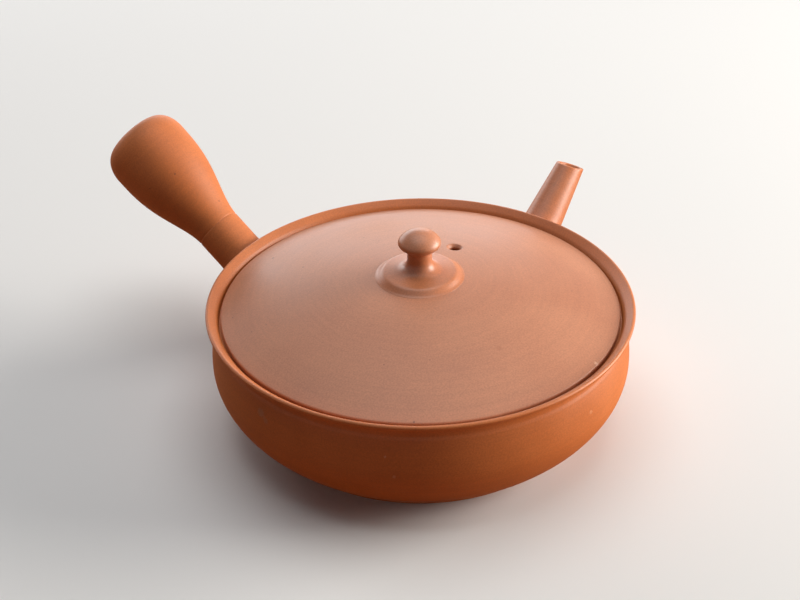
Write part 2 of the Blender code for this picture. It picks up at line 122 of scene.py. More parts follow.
def corner(before, at, after, cut, count=6):
    """A rounded corner: the quadratic curve that starts and ends a cut's length from the point."""
    before, at, after = (np.asarray(point, float) for point in (before, at, after))
    start = at + (before - at) * cut / np.linalg.norm(before - at)
    end = at + (after - at) * cut / np.linalg.norm(after - at)
    share = np.linspace(0.0, 1.0, count)[:, None]
    return start * (1 - share) ** 2 + at * 2 * share * (1 - share) + end * share**2


def upper_wall(height):
    """Radius of the outside from belly to neck: it leans in with the square of the way up."""
    share = (height - BELLY_HEIGHT) / (NECK_HEIGHT - BELLY_HEIGHT)
    return BELLY_RADIUS - NECK_LEAN * share**2


def lower_wall(height, foot_radius, foot_height, belly_radius):
    """Radius from foot to belly: a parabola that spreads from the foot and ends upright."""
    share = (height - foot_height) / (BELLY_HEIGHT - foot_height)
    return foot_radius + (belly_radius - foot_radius) * (1 - (1 - share) ** 2)


def body_inside():
    """Profile from the middle of the floor up the inside to the bevel of the rim."""
    inside_radius = BELLY_RADIUS - WALL
    low = np.linspace(FLOOR_TOP, BELLY_HEIGHT, 34)[4:]
    low_wall = np.stack([lower_wall(low, FLOOR_RADIUS, FLOOR_TOP, inside_radius), low], axis=-1)
    floor = np.stack([np.linspace(0.0, FLOOR_FLAT, 24), np.full(24, FLOOR_TOP)], axis=-1)
    cove_foot = LEDGE_BOTTOM - LEDGE_COVE
    high = np.linspace(BELLY_HEIGHT, cove_foot, 12)[1:-1]
    high_wall = np.stack([upper_wall(high) - WALL, high], axis=-1)
    cove_width = upper_wall(cove_foot) - WALL - LEDGE_RADIUS - LEDGE_LIP
    cove = arc((LEDGE_RADIUS + LEDGE_LIP, cove_foot), (cove_width, LEDGE_COVE), 0, 90, 12)
    nose_low, nose_high = (LEDGE_RADIUS, LEDGE_BOTTOM), (LEDGE_RADIUS, LEDGE_TOP)
    seat_foot, seat_top = (SEAT_RADIUS, LEDGE_TOP), (SEAT_RADIUS, SEAT_WALL_TOP)
    bevel = (BEVEL_RADIUS, BEVEL_HEIGHT)
    crest = (RIM_RADIUS - CREST_IN, BODY_HEIGHT - CREST_DROP)
    return np.vstack([
        floor,
        corner(floor[-1], (FLOOR_RADIUS, FLOOR_TOP), low_wall[0], FLOOR_ROUND, 10),
        low_wall,
        high_wall,
        cove,
        corner(cove[-1], nose_low, nose_high, NOSE_ROUND),
        corner(nose_low, nose_high, seat_foot, NOSE_ROUND),
        corner(nose_high, seat_foot, seat_top, SEAT_ROUND),
        corner(seat_foot, seat_top, bevel, BEVEL_ROUND),
        corner(seat_top, bevel, crest, CREST_ROUND),
    ])


def body_outside():
    """Profile from the crest of the rim down the outside to the middle of the base."""
    edge = arc((RIM_RADIUS - RIM_EDGE, BODY_HEIGHT - RIM_EDGE), (RIM_EDGE, RIM_EDGE), 130, -55, 24)
    cove = arc((COVE_MIDDLE, NECK_HEIGHT), COVE_RADII, 100, 200, 24)
    high = np.linspace(cove[-1, 1], BELLY_HEIGHT, 22)[1:-1]
    low = np.linspace(BELLY_HEIGHT, FOOT_HEIGHT, 40)
    wall_foot = BASE_RADIUS - FOOT_STEP
    low_wall = np.stack([lower_wall(low, wall_foot, FOOT_HEIGHT, BELLY_RADIUS), low], axis=-1)
    step = (BASE_RADIUS, FOOT_HEIGHT - FOOT_STEP)
    foot = (BASE_RADIUS, 0.0)
    base = np.stack([np.linspace(BASE_FLAT, 0.0, 20), np.zeros(20)], axis=-1)
    return np.vstack([
        edge,
        cove,
        np.stack([upper_wall(high), high], axis=-1),
        low_wall,
        corner(low_wall[-1], step, foot, FOOT_ROUND),
        corner(step, foot, base[0], FOOT_EDGE),
        base,
    ])


def turned(profile, angles, stations):
    """x = r cos a, y = r sin a, z = z: r and z are read off the profile between its points."""
    index = np.arange(len(profile))
    angles, stations = np.broadcast_arrays(angles, stations)
    radius = np.interp(stations, index, profile[:, 0])
    height = np.interp(stations, index, profile[:, 1])
    return np.stack([radius * np.cos(angles), radius * np.sin(angles), height], axis=-1)


def window(left, right, first, last):
    """Grid places round the edge of a window, as angle steps and stations, side by side."""
    across, along, way = right - left, abs(last - first), int(np.sign(last - first))
    steps = [
        left + np.arange(across), np.full(along, right),
        right - np.arange(across), np.full(along, left),
    ]
    stations = [
        np.full(across, first), first + way * np.arange(along),
        np.full(across, last), last - way * np.arange(along),
    ]
    return np.concatenate(steps), np.concatenate(stations)


def strip(rows):
    """Faces that join rows of point numbers, each row a closed ring, with outsides outwards."""
    rows = np.asarray(rows)
    ahead = np.roll(rows, -1, axis=1)
    return np.stack([rows[:-1], rows[1:], ahead[1:], ahead[:-1]], axis=-1).reshape(-1, 4)


def turned_solid(profile, steps, tunnel=None):
    """Points and faces of a profile carried round Z, closed at both poles.

    A tunnel is two windows left out of the grid and the rings of points that lead from the edge
    of the first, through the wall, to the edge of the second.
    """
    stations = np.arange(1, len(profile) - 1)
    step, station = np.meshgrid(np.arange(steps), stations)
    points = turned(profile, step * TURN / steps, station).reshape(-1, 3)
    number = np.arange(len(points)).reshape(len(stations), steps)
    ahead = np.roll(number, -1, axis=1)
    quads = np.stack([number[:-1], number[1:], ahead[1:], ahead[:-1]], axis=-1)
    kept = np.ones(quads.shape[:2], bool)
    poles = np.array([[0.0, 0.0, profile[0, 1]], [0.0, 0.0, profile[-1, 1]]])
    first, last = len(points), len(points) + 1
    fans = [
        np.stack([np.full(steps, first), number[0], ahead[0]], axis=-1),
        np.stack([np.full(steps, last), ahead[-1], number[-1]], axis=-1),
    ]
    points = np.vstack([points, poles])
    extra = []
    if tunnel:
        entry, leaving, rings = tunnel
        for left, right, low, high in (entry, leaving):
            low, high = min(low, high), max(low, high)
            kept[low - 1 : high - 1, np.arange(left, right) % steps] = False
        loops = [number[place[1] - 1, place[0] % steps] for place in (window(*entry), window(*leaving))]
        inner = len(points) + np.arange(rings.shape[0] * rings.shape[1]).reshape(rings.shape[:2])
        points = np.vstack([points, rings.reshape(-1, 3)])
        extra = strip(np.vstack([loops[0][None], inner, loops[1][None]])).tolist()
    faces = quads[kept].tolist() + extra + fans[0].tolist() + fans[1].tolist()
    return points, faces


def easing(profile, steps, loop, rim, count):
    """Rings on a turned surface, straight in angle and station from a window's edge to a rim."""
    share = np.linspace(0.0, 1.0, count + 1)[1:, None]
    angles = loop[0] * TURN / steps * (1 - share) + rim[0] * share
    return turned(profile, angles, loop[1] * (1 - share) + rim[1] * share)


def member_axes(turn, rise, height):
    """Start on the belly, then the unit vectors along, sideways from and over a luted member."""
    out = np.array([math.cos(turn), math.sin(turn), 0.0])
    side = np.array([-math.sin(turn), math.cos(turn), 0.0])
    up = np.array([0.0, 0.0, 1.0])
    along = out * math.cos(rise) + up * math.sin(rise)
    over = up * math.cos(rise) - out * math.sin(rise)
    return out * BELLY_RADIUS + up * height, along, side, over


def on_member(axes, distance, radius, theta):
    """start + s along + r (cos t side + sin t over), for whole arrays of s, r and t."""
    start, along, side, over = axes
    distance, radius, theta = np.broadcast_arrays(distance, radius, theta)
    around = np.cos(theta)[..., None] * side + np.sin(theta)[..., None] * over
    return start + distance[..., None] * along + radius[..., None] * around


def wall_radius(height, inset=0.0, inside=False):
    """Radius of the body's outside or inside at a height, off its profile."""
    profile = INSIDE if inside else OUTSIDE
    order = np.argsort(profile[:, 1], kind="stable")
    return np.interp(height, profile[order, 1], profile[order, 0]) - inset


def straight(radius):
    """The radius of a member that is as wide all along."""
    return lambda distance: np.full(len(distance), radius)


def meet_wall(axes, radius_at, theta, inset=0.0, inside=False):
    """How far along each of its lines a member meets the body: the stretch that holds the meeting
    place is halved again and again."""
    low, high = np.full(len(theta), -MEMBER_REACH), np.full(len(theta), MEMBER_REACH)
    for _ in range(HALVINGS):
        middle = (low + high) / 2
        point = on_member(axes, middle, radius_at(middle), theta)
        out = np.hypot(point[:, 0], point[:, 1]) > wall_radius(point[:, 2], inset, inside)
        low, high = np.where(out, low, middle), np.where(out, middle, high)
    return (low + high) / 2


def clay_piece(name, points, faces, material, node, body):
    """A smooth closed mesh at the origin, in its clay, that stands for a CAD node and moves with it."""
    mesh = bpy.data.meshes.new(name)
    mesh.from_pydata(points.tolist(), [], faces)
    mesh.polygons.foreach_set("use_smooth", np.ones(len(mesh.polygons), bool))
    mesh.update()
    piece = bpy.data.objects.new(name, mesh)
    bpy.context.scene.collection.objects.link(piece)
    mesh.materials.append(material)
    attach(piece, body)
    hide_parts(node)


def linear(code):
    """Linear red, green, blue and alpha of an sRGB hex colour."""
    parts = [int(code[place : place + 2], 16) / 255 for place in (1, 3, 5)]
    light = [part / 12.92 if part <= 0.04045 else ((part + 0.055) / 1.055) ** 2.4 for part in parts]
    return light + [1.0]


def add(tree, kind, links=None, settings=None, **values):
    """A node of a kind: links feed its sockets, settings set its options and values its constants.
    A value's name is the socket's, with _ for a space, or _ and the socket's number."""
    node = tree.nodes.new("ShaderNode" + kind)
    for option, value in (settings or {}).items():
        setattr(node, option, value)
    for socket, value in values.items():
        key = int(socket[1:]) if socket[1:].isdigit() else socket.replace("_", " ")
        node.inputs[key].default_value = value
    for socket, source in (links or {}).items():
        tree.links.new(source, node.inputs[socket])
    return node


def red_stoneware(
    name, clay, pale, centre=(0, 0, 0), rotation=(0, 0, 0),
    roughness=(0.42, 0.52), ridges=0.02, marks_of_use=(),
):
    """Unglazed red stoneware, turned about its own Z axis and burnished: a satin skin that is a
    little uneven in colour, with hairline turning marks round the axis, a fine grain of grog and
    sparse dark iron specks. The ridges are the height of the turning marks in millimetres. Each
    mark of use is a place, a width, a colour and how much it covers: a burnt speck or a scuff."""
    material = bpy.data.materials.new(name)
    material.use_nodes = True
    tree = material.node_tree
    shader = tree.nodes["Principled BSDF"]
    place = add(tree, "TexCoord").outputs["Object"]
    own = add(
        tree, "Mapping", {"Vector": place}, {"vector_type": "TEXTURE"},
        Location=centre, Rotation=rotation,
    ).outputs[0]
    parts = add(tree, "SeparateXYZ", {"Vector": own})
    flat = add(tree, "CombineXYZ", {"X": parts.outputs["X"], "Y": parts.outputs["Y"]}).outputs[0]
    radius = add(tree, "VectorMath", {0: flat}, {"operation": "LENGTH"}).outputs["Value"]
    drift = add(tree, "Math", {0: parts.outputs["X"]}, {"operation": "MULTIPLY"}, _1=0.03).outputs[0]
    turning = add(tree, "CombineXYZ", {"X": radius, "Y": parts.outputs["Z"], "Z": drift}).outputs[0]

    # Turning marks 1.4 mm apart with finer ones of 0.5 mm between them.
    marks = add(
        tree, "TexNoise", {"Vector": turning},
        Scale=1 / MARK_SPACING, Detail=2.5, Roughness=0.6, Lacunarity=2.8,
    ).outputs["Fac"]
    # Cloudy patches about 30 mm across, where more or less fine slip came up under the tool.
    clouds = add(
        tree, "TexNoise", {"Vector": own}, Scale=1 / CLOUD_WIDTH, Detail=3.0, Roughness=0.55
    ).outputs["Fac"]
    # Grog grains of 0.3 mm, drawn at 0.55 mm so that they show.
    grain = add(tree, "TexNoise", {"Vector": own}, Scale=1 / GRAIN_WIDTH, Detail=1.5).outputs["Fac"]
    tone = add(tree, "MapRange", {"Value": clouds}, From_Min=0.35, From_Max=0.65).outputs[0]
    body = add(
        tree, "Mix", {0: tone}, {"data_type": "RGBA"}, _6=linear(clay), _7=linear(pale)
    ).outputs[2]
    streak = add(
        tree, "MapRange", {"Value": marks}, From_Min=0.3, From_Max=0.7, To_Min=0.955, To_Max=1.045
    ).outputs[0]
    fleck = add(
        tree, "MapRange", {"Value": grain}, From_Min=0.3, From_Max=0.7, To_Min=0.9, To_Max=1.1
    ).outputs[0]
    strength = add(tree, "Math", {0: streak, 1: fleck}, {"operation": "MULTIPLY"}).outputs[0]
    shaded = add(tree, "VectorMath", {0: body, "Scale": strength}, {"operation": "SCALE"}).outputs[0]

    # Iron specks up to 0.5 mm across, in about one cell in eight of a 5 mm pattern.
    cells = add(tree, "TexVoronoi", {"Vector": own}, Scale=1 / SPECK_SPACING, Randomness=1.0)
    dot = add(
        tree, "MapRange", {"Value": cells.outputs["Distance"]},
        From_Min=0.035, From_Max=0.06, To_Min=1.0, To_Max=0.0,
    ).outputs[0]
    lot = add(tree, "SeparateXYZ", {"Vector": cells.outputs["Color"]}).outputs["X"]
    few = add(tree, "Math", {0: lot}, {"operation": "GREATER_THAN"}, _1=0.87).outputs[0]
    speck = add(tree, "Math", {0: dot, 1: few}, {"operation": "MULTIPLY"}).outputs[0]
    faint = add(tree, "Math", {0: speck}, {"operation": "MULTIPLY"}, _1=0.55).outputs[0]
    color = add(
        tree, "Mix", {0: faint, 6: shaded}, {"data_type": "RGBA"}, _7=linear(IRON)
    ).outputs[2]
    # Each mark is ragged, because a fine noise bends the distance to its middle.
    for spot, width, tint, cover in marks_of_use:
        ragged = add(
            tree, "MapRange", {"Value": grain}, To_Min=0.4 * width * MM, To_Max=-0.4 * width * MM
        ).outputs[0]
        near = add(
            tree, "VectorMath", {0: place}, {"operation": "DISTANCE"}, _1=[value * MM for value in spot]
        ).outputs["Value"]
        reach = add(tree, "Math", {0: near, 1: ragged}, {"operation": "ADD"}).outputs[0]
        patch = add(
            tree, "MapRange", {"Value": reach},
            From_Min=0.3 * width * MM, From_Max=0.6 * width * MM, To_Min=cover, To_Max=0.0,
        ).outputs[0]
        color = add(tree, "Mix", {0: patch, 6: color}, {"data_type": "RGBA"}, _7=linear(tint)).outputs[2]
    gloss = add(
        tree, "MapRange", {"Value": clouds},
        From_Min=0.3, From_Max=0.7, To_Min=roughness[0], To_Max=roughness[1],
    ).outputs[0]
    ridge = add(tree, "Bump", {"Height": marks}, Distance=ridges * MM, Strength=1.0).outputs[0]
    bumps = add(
        tree, "Bump", {"Height": grain, "Normal": ridge}, Distance=GRAIN_HEIGHT, Strength=1.0
    ).outputs[0]
    tree.links.new(color, shader.inputs["Base Color"])
    tree.links.new(gloss, shader.inputs["Roughness"])
    tree.links.new(bumps, shader.inputs["Normal"])
    shader.inputs["IOR"].default_value = CLAY_IOR
    return material


INSIDE, OUTSIDE = body_inside(), body_outside()
BODY_PROFILE = np.vstack([INSIDE, OUTSIDE])
SPOUT_AXES = member_axes(0.0, SPOUT_RISE, SPOUT_HEIGHT)


def spout_tunnel():
    """The hole for the spout: two windows in the wall and the rings that line the hole."""
    windows, rings = [], []
    for inside, rows, before in ((False, OUTSIDE, len(INSIDE)), (True, INSIDE, 0)):
        order = np.argsort(rows[:, 1], kind="stable")
        heights, stations = rows[order, 1], order + before
        centre = SPOUT_HEIGHT - (WALL * math.tan(SPOUT_RISE) if inside else 0.0)
        middle = int(round(np.interp(centre, heights, stations)))
        half = HOLE_ROWS if inside else -HOLE_ROWS
        place = (-HOLE_STEPS, HOLE_STEPS, middle + half, middle - half)
        loop = window(*place)
        level = BODY_PROFILE[loop[1], 1]
        theta = np.arctan2(level - centre, loop[0] * TURN / BODY_STEPS * BELLY_RADIUS)
        reach = meet_wall(SPOUT_AXES, straight(SPOUT_BORE), theta, inside=inside)
        point = on_member(SPOUT_AXES, reach, np.array(SPOUT_BORE), theta)
        rim = (np.arctan2(point[:, 1], point[:, 0]), np.interp(point[:, 2], heights, stations))
        eased = easing(BODY_PROFILE, BODY_STEPS, loop, rim, 8)
        windows.append(place)
        rings.append(eased[::-1] if inside else eased)
    return windows[0], windows[1], np.concatenate(rings)


# Pale scuffs on the front of the belly and a nick in the rim: place and width in mm, colour, cover.
BODY_MARKS = (
    ((-71.9, 13.3, 34.4), 3.2, "#A98470", 0.45), ((-72.4, 11.0, 32.6), 2.2, "#A98470", 0.35),
    ((-66.0, -32.2, 32.5), 0.9, "#D9A98C", 0.5), ((-65.1, -34.9, 25.1), 1.2, "#C99878", 0.45),
    ((-7.4, -73.2, 31.2), 1.6, "#E8B48C", 0.35), ((-1.9, -72.5, 44.6), 1.0, "#6E3318", 0.5),
)
body_clay = red_stoneware(
    "burnished_red_stoneware_body", BODY_CLAY, BODY_CLAY_PALE, marks_of_use=BODY_MARKS
)
points, faces = turned_solid(BODY_PROFILE, BODY_STEPS, spout_tunnel())
clay_piece("thrown_body", points, faces, body_clay, "pot_body", "pot")


# Spout. A short tapered tube thrown off the hump, cut to the curve of the belly, stuck on with
# slip and smoothed into the wall with a wet finger. Its mouth was cut at a slant with a wire.
SPOUT_LENGTH = 39.1 * MM
SPOUT_ROOT = 8.4 * MM
SPOUT_TIP = 5.4 * MM
SPOUT_FLARE = 2.6 * MM
SPOUT_FLARE_LENGTH = 15.0 * MM
SPOUT_TIP_BORE = 4.2 * MM
MOUTH_TILT = math.radians(64.5)
MOUTH_TWIST = math.radians(-8.0)
MOUTH_EDGE = 0.45 * MM
SPOUT_STEPS = 128
# The joints: how far the slip climbs a member and lies out on the wall, and how its edge is
# tucked under the wall's skin.
FILLET_RISE = 4.5 * MM
FILLET_REACH = 4.0 * MM
FILLET_ROWS = 14
FILLET_LIFT = 0.02 * MM
FILLET_TUCK = 1.0 * MM
FILLET_DIP = 0.06 * MM
FOOT_HIDDEN = 0.35 * MM
# The pale tone of spout, lid and knob: partly their clay's own tone, partly a painted whitish sheen.
PALE_CLAY_AND_SHEEN = "#BC7C5B"


def spout_outside(distance):
    """Radius of the spout: a straight taper, and a flare that grows with the square of nearness."""
    taper = SPOUT_ROOT + (SPOUT_TIP - SPOUT_ROOT) * distance / SPOUT_LENGTH
    near = np.clip(1 - distance / SPOUT_FLARE_LENGTH, 0.0, 1.0)
    return np.where(distance < 0, SPOUT_ROOT, taper) + SPOUT_FLARE * near**2


def on_wall(around, height, lift):
    """A point at a length round the belly and a height, lifted off the outside of the body."""
    radius, angle = wall_radius(height) + lift, around / BELLY_RADIUS
    return np.stack([radius * np.cos(angle), radius * np.sin(angle), height], axis=-1)


def slip_fillet(axes, theta, radius_at):
    """Rows of the joint between a member and the body, and how far along the member it starts.

    Each row is a quadratic curve: it leaves the member, turns at the line where the two meet
    and lies down on the wall. Two more rows carry it on under the wall's skin.
    """
    root = meet_wall(axes, radius_at, theta)
    begin = root + FILLET_RISE
    top = on_member(axes, begin, radius_at(begin), theta)
    turn = on_member(axes, root, radius_at(root), theta)
    around, height = np.arctan2(turn[:, 1], turn[:, 0]) * BELLY_RADIUS, turn[:, 2]
    across = np.roll(around, -1) - np.roll(around, 1)
    upward = np.roll(height, -1) - np.roll(height, 1)
    size = np.hypot(across, upward)
    out, up = upward / size, -across / size
    spread = FILLET_REACH * (1 - 0.5 * np.clip(np.sin(theta), 0, 1) ** 2)
    foot = on_wall(around + out * spread, height + up * spread, FILLET_LIFT)
    under = [
        on_wall(around + out * (spread + FILLET_TUCK), height + up * (spread + FILLET_TUCK), -depth)
        for depth in (FILLET_DIP, FOOT_HIDDEN)
    ]
    share = np.linspace(0.0, 1.0, FILLET_ROWS)[:, None, None]
    curve = top * (1 - share) ** 2 + turn * 2 * share * (1 - share) + foot * share**2
    return begin, np.concatenate([curve, np.stack(under)])


def bent(start, at, end, count=6):
    """Rows of a quadratic corner between places given as (distance, radius) arrays."""
    share = np.linspace(0.0, 1.0, count)[:, None]
    return [
        start[part] * (1 - share) ** 2 + at[part] * 2 * share * (1 - share) + end[part] * share**2
        for part in (0, 1)
    ]


def luted_tube(rows):
    """Points and faces of rows that run down the outside and back up the bore, closed both ways."""
    number = np.arange(rows.shape[0] * rows.shape[1]).reshape(rows.shape[:2])
    return rows.reshape(-1, 3), strip(np.vstack([number, number[:1]])).tolist()


def spout_rows():
    """Rows of the spout from its mouth down the outside and back up the bore."""
    theta = np.linspace(0.0, TURN, SPOUT_STEPS, endpoint=False)
    face = np.array([
        math.cos(MOUTH_TILT) * math.cos(MOUTH_TWIST),
        math.cos(MOUTH_TILT) * math.sin(MOUTH_TWIST),
        math.sin(MOUTH_TILT),
    ])
    along, side, over = SPOUT_AXES[1:]
    slant = (np.cos(theta) * side.dot(face) + np.sin(theta) * over.dot(face)) / along.dot(face)

    def at_mouth(radius):
        return SPOUT_LENGTH - radius * slant

    def mouth_place(root, tip):
        taper = (root - tip) / SPOUT_LENGTH
        distance = (SPOUT_LENGTH - root * slant) / (1 - slant * taper)
        return distance, root - taper * distance

    def bore(distance):
        return SPOUT_BORE + (SPOUT_TIP_BORE - SPOUT_BORE) * distance / SPOUT_LENGTH

    edge = mouth_place(SPOUT_ROOT, SPOUT_TIP)
    outer_top = (at_mouth(edge[1] - MOUTH_EDGE), edge[1] - MOUTH_EDGE)
    outer_low = (edge[0] - MOUTH_EDGE, spout_outside(edge[0] - MOUTH_EDGE))
    lip = mouth_place(SPOUT_BORE, SPOUT_TIP_BORE)
    inner_top = (at_mouth(lip[1] + MOUTH_EDGE), lip[1] + MOUTH_EDGE)
    inner_low = (lip[0] - MOUTH_EDGE, bore(lip[0] - MOUTH_EDGE))
    begin, fillet = slip_fillet(SPOUT_AXES, theta, spout_outside)
    share = np.linspace(0.0, 1.0, 56)[1:-1, None]
    outside = outer_low[0] + (begin - outer_low[0]) * share
    bore_root = meet_wall(SPOUT_AXES, straight(SPOUT_BORE), theta, FOOT_HIDDEN)
    inside = bore_root + (inner_low[0] - bore_root) * np.linspace(0.0, 1.0, 24)[:-1, None]
    mouth_outer = bent(outer_top, edge, outer_low)
    mouth_inner = bent(inner_low, lip, inner_top)
    return np.concatenate([
        on_member(SPOUT_AXES, *mouth_outer, theta),
        on_member(SPOUT_AXES, outside, spout_outside(outside), theta),
        fillet,
        on_member(SPOUT_AXES, inside, np.where(inside < 0, SPOUT_BORE, bore(inside)), theta),
        on_member(SPOUT_AXES, *mouth_inner, theta),
    ])


def turned_along(axes):
    """Place and rotation of a member's own axis, for a pattern turned about it."""
    return tuple(axes[0]), tuple(Vector(axes[1]).to_track_quat("Z", "Y").to_euler())


spout_place, spout_turn = turned_along(SPOUT_AXES)
spout_clay = red_stoneware(
    "burnished_red_stoneware_spout", BODY_CLAY, PALE_CLAY_AND_SHEEN, spout_place, spout_turn,
    (0.40, 0.48), 0.012,
)
points, faces = luted_tube(spout_rows())
clay_piece("luted_spout", points, faces, spout_clay, "spout", "pot")


# Strainer. A thin half ball of the same clay, pierced with a needle while leather-hard and
# luted inside the wall over the hole of the spout. The CAD node has its shape and stays.
strainer_clay = red_stoneware("pierced_red_stoneware_strainer", BODY_CLAY, BODY_CLAY_PALE, ridges=0.004)
for material_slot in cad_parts["strainer"].material_slots:
    material_slot.material = strainer_clay


# Handle. A hollow trumpet thrown apart from the pot, closed to a round shoulder round the hole
# in its end, turned with one crease where the grip begins, and luted on a quarter turn from
# the spout.
HANDLE_HEIGHT = BODY_HEIGHT - 15.1 * MM
HANDLE_RISE = math.radians(35.5)
HANDLE_LENGTH = 72.8 * MM
HANDLE_NECK = 8.8 * MM
HANDLE_GRIP = 16.05 * MM
HANDLE_ROOT_FLARE = 2.6 * MM
HANDLE_ROOT_LENGTH = 13.0 * MM
CREASE_PLACE = 24.3 * MM
CREASE_WIDTH = 0.32 * MM
CREASE_DEPTH = 0.2 * MM
CREASE_REACH = 1.5 * MM
GRIP_START = 24.8 * MM
SHOULDER_LENGTH = 9.0 * MM
HANDLE_END = 10.2 * MM
HANDLE_HOLE = 7.6 * MM
HANDLE_LIP = 1.3 * MM
HANDLE_WALL = 3.2 * MM
SWELL_BIAS = 2.65
HANDLE_STEPS = 128
HANDLE_AXES = member_axes(TURN / 4, HANDLE_RISE, HANDLE_HEIGHT)


def handle_swell(distance):
    """Radius of neck and grip: the grip grows by 1 - (1 - x)^3 (1 + b x) from crease to shoulder."""
    way = np.clip((distance - GRIP_START) / (HANDLE_LENGTH - SHOULDER_LENGTH - GRIP_START), 0.0, 1.0)
    growth = 1 - (1 - way) ** 3 * (1 + SWELL_BIAS * way)
    near = np.clip(1 - distance / HANDLE_ROOT_LENGTH, 0.0, 1.0)
    return HANDLE_NECK + (HANDLE_GRIP - HANDLE_NECK) * growth + HANDLE_ROOT_FLARE * near**2


def handle_outside(distance):
    """The swell less the crease, a rounded notch that falls off as a bell curve."""
    notch = np.exp(-(((distance - CREASE_PLACE) / CREASE_WIDTH) ** 2))
    return handle_swell(distance) - CREASE_DEPTH * notch


def handle_rows():
    """Rows of the handle from the lip of its end hole down the outside and back up the hollow."""
    theta = np.linspace(0.0, TURN, HANDLE_STEPS, endpoint=False)
    shoulder = HANDLE_LENGTH - SHOULDER_LENGTH
    lip_middle = (HANDLE_HOLE + HANDLE_LIP, HANDLE_LENGTH - HANDLE_LIP)
    lip = arc(lip_middle, (HANDLE_LIP, HANDLE_LIP), 180, 90, 8)
    round_end = arc((HANDLE_END, shoulder), (HANDLE_GRIP - HANDLE_END, SHOULDER_LENGTH), 90, 0, 26)
    grip = np.linspace(shoulder, CREASE_PLACE + CREASE_REACH, 44)[1:]
    crease = np.linspace(CREASE_PLACE + CREASE_REACH, CREASE_PLACE - CREASE_REACH, 32)[1:]
    begin, fillet = slip_fillet(HANDLE_AXES, theta, handle_swell)
    neck = crease[-1] + (begin - crease[-1]) * np.linspace(0.0, 1.0, 24)[1:-1, None]
    bore = HANDLE_NECK - HANDLE_WALL
    root = meet_wall(HANDLE_AXES, straight(bore), theta, FOOT_HIDDEN)
    bore_rows = root + (GRIP_START - root) * np.linspace(0.0, 1.0, 12)[:, None]
    hollow = np.linspace(GRIP_START, shoulder, 30)[1:]
    hollow_radii = (HANDLE_GRIP - HANDLE_WALL - HANDLE_HOLE, SHOULDER_LENGTH - HANDLE_WALL)
    hollow_end = arc((HANDLE_HOLE, shoulder), hollow_radii, 0, 90, 14)
    outside = np.vstack([
        lip,
        round_end,
        np.stack([handle_outside(grip), grip], axis=-1),
        np.stack([handle_outside(crease), crease], axis=-1),
    ])
    inside = np.vstack([np.stack([handle_swell(hollow) - HANDLE_WALL, hollow], axis=-1), hollow_end[1:]])
    return np.concatenate([
        on_member(HANDLE_AXES, outside[:, 1:], outside[:, :1], theta),
        on_member(HANDLE_AXES, neck, handle_swell(neck), theta),
        fillet,
        on_member(HANDLE_AXES, bore_rows, np.array(bore), theta),
        on_member(HANDLE_AXES, inside[:, 1:], inside[:, :1], theta),
    ])


# Two small burnt specks on the grip.
HANDLE_MARKS = (
    ((-8.2, 105.5, 68.0), 0.8, "#5A2412", 0.7), ((1.1, 93.1, 56.1), 0.7, "#5A2412", 0.6),
)
handle_place, handle_turn = turned_along(HANDLE_AXES)
handle_clay = red_stoneware(
    "burnished_red_stoneware_handle", BODY_CLAY, BODY_CLAY_PALE, handle_place, handle_turn,
    (0.58, 0.68), 0.012, HANDLE_MARKS,
)
points, faces = luted_tube(handle_rows())
clay_piece("luted_handle", points, faces, handle_clay, "handle", "pot")


# Lid. A low dome thrown upside down and turned true, so that its edge drops just inside the
# rim and its seat lies on the ledge. The steam hole was drilled beside the knob and its mouth
# countersunk with the tip of a tool.
LID_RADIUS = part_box("lid")[1].x
LID_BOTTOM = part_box("lid")[0].z
LID_EDGE_HEIGHT = BODY_HEIGHT - 2.3 * MM
LID_RISE = 12.65 * MM
LID_THICKNESS = 3.2 * MM
LID_EDGE_START = LID_RADIUS - 0.6 * MM
LID_SEAT_RADIUS = LID_RADIUS - 3.0 * MM
LID_UNDER_RADIUS = LID_SEAT_RADIUS - 0.9 * MM
HEEL_ROUND = 0.5 * MM
TOE_ROUND = 0.4 * MM
# The lid's clay is drawn paler and pinker than the body's: partly its own tone, partly a painted whitish
# sheen.
LID_CLAY_WITH_SHEEN = "#B27150"
VENT_PLACE = 24.2 * MM
VENT_TURN = math.radians(3.5)
VENT_RIM = 2.95 * MM
# Width and half the length of the window for the steam hole, in steps of the lid's grid.
VENT_STEPS = 19
VENT_ROWS = 8
LID_STEPS = 256
# Radius and depth below the lid's face down the steam hole: rounded lip, cone and bore.
VENT_LINING = (
    (2.86, 0.03), (2.75, 0.10), (2.60, 0.25), (2.30, 0.58), (2.02, 0.90),
    (1.93, 1.06), (1.90, 1.30), (1.90, 2.10), (1.90, 2.90), (1.95, 3.10),
)
VENT_EXIT = 2.08 * MM


def lid_top(radius):
    """Height of the lid's face: it falls from the middle with the square of the radius."""
    return LID_EDGE_HEIGHT + LID_RISE * (1 - (radius / LID_RADIUS) ** 2)


def lid_profile():
    """Profile of the lid from the middle of its face, round the edge and the seat, to the middle
    of its underside, and how many of its points lie on the face and on the underside."""
    face = np.linspace(0.0, LID_EDGE_START, 92)
    lean = math.atan(2 * LID_RISE * LID_EDGE_START / LID_RADIUS**2)
    edge_radius = (LID_RADIUS - LID_EDGE_START) / (1 - math.sin(lean))
    edge_height = lid_top(LID_EDGE_START) - edge_radius * math.cos(lean)
    edge_middle = (LID_RADIUS - edge_radius, edge_height)
    edge = arc(edge_middle, (edge_radius, edge_radius), 90 - math.degrees(lean), 0, 16)
    heel, toe = (LID_RADIUS, LID_BOTTOM), (LID_SEAT_RADIUS, LID_BOTTOM)
    under = np.linspace(LID_UNDER_RADIUS, 0.0, 90)
    underside = np.stack([under, lid_top(under) - LID_THICKNESS], axis=-1)
    profile = np.vstack([
        np.stack([face, lid_top(face)], axis=-1),
        edge[1:],
        corner(edge[-1], heel, toe, HEEL_ROUND),
        corner(heel, toe, underside[0], TOE_ROUND),
        underside,
    ])
    return profile, len(face), len(under)


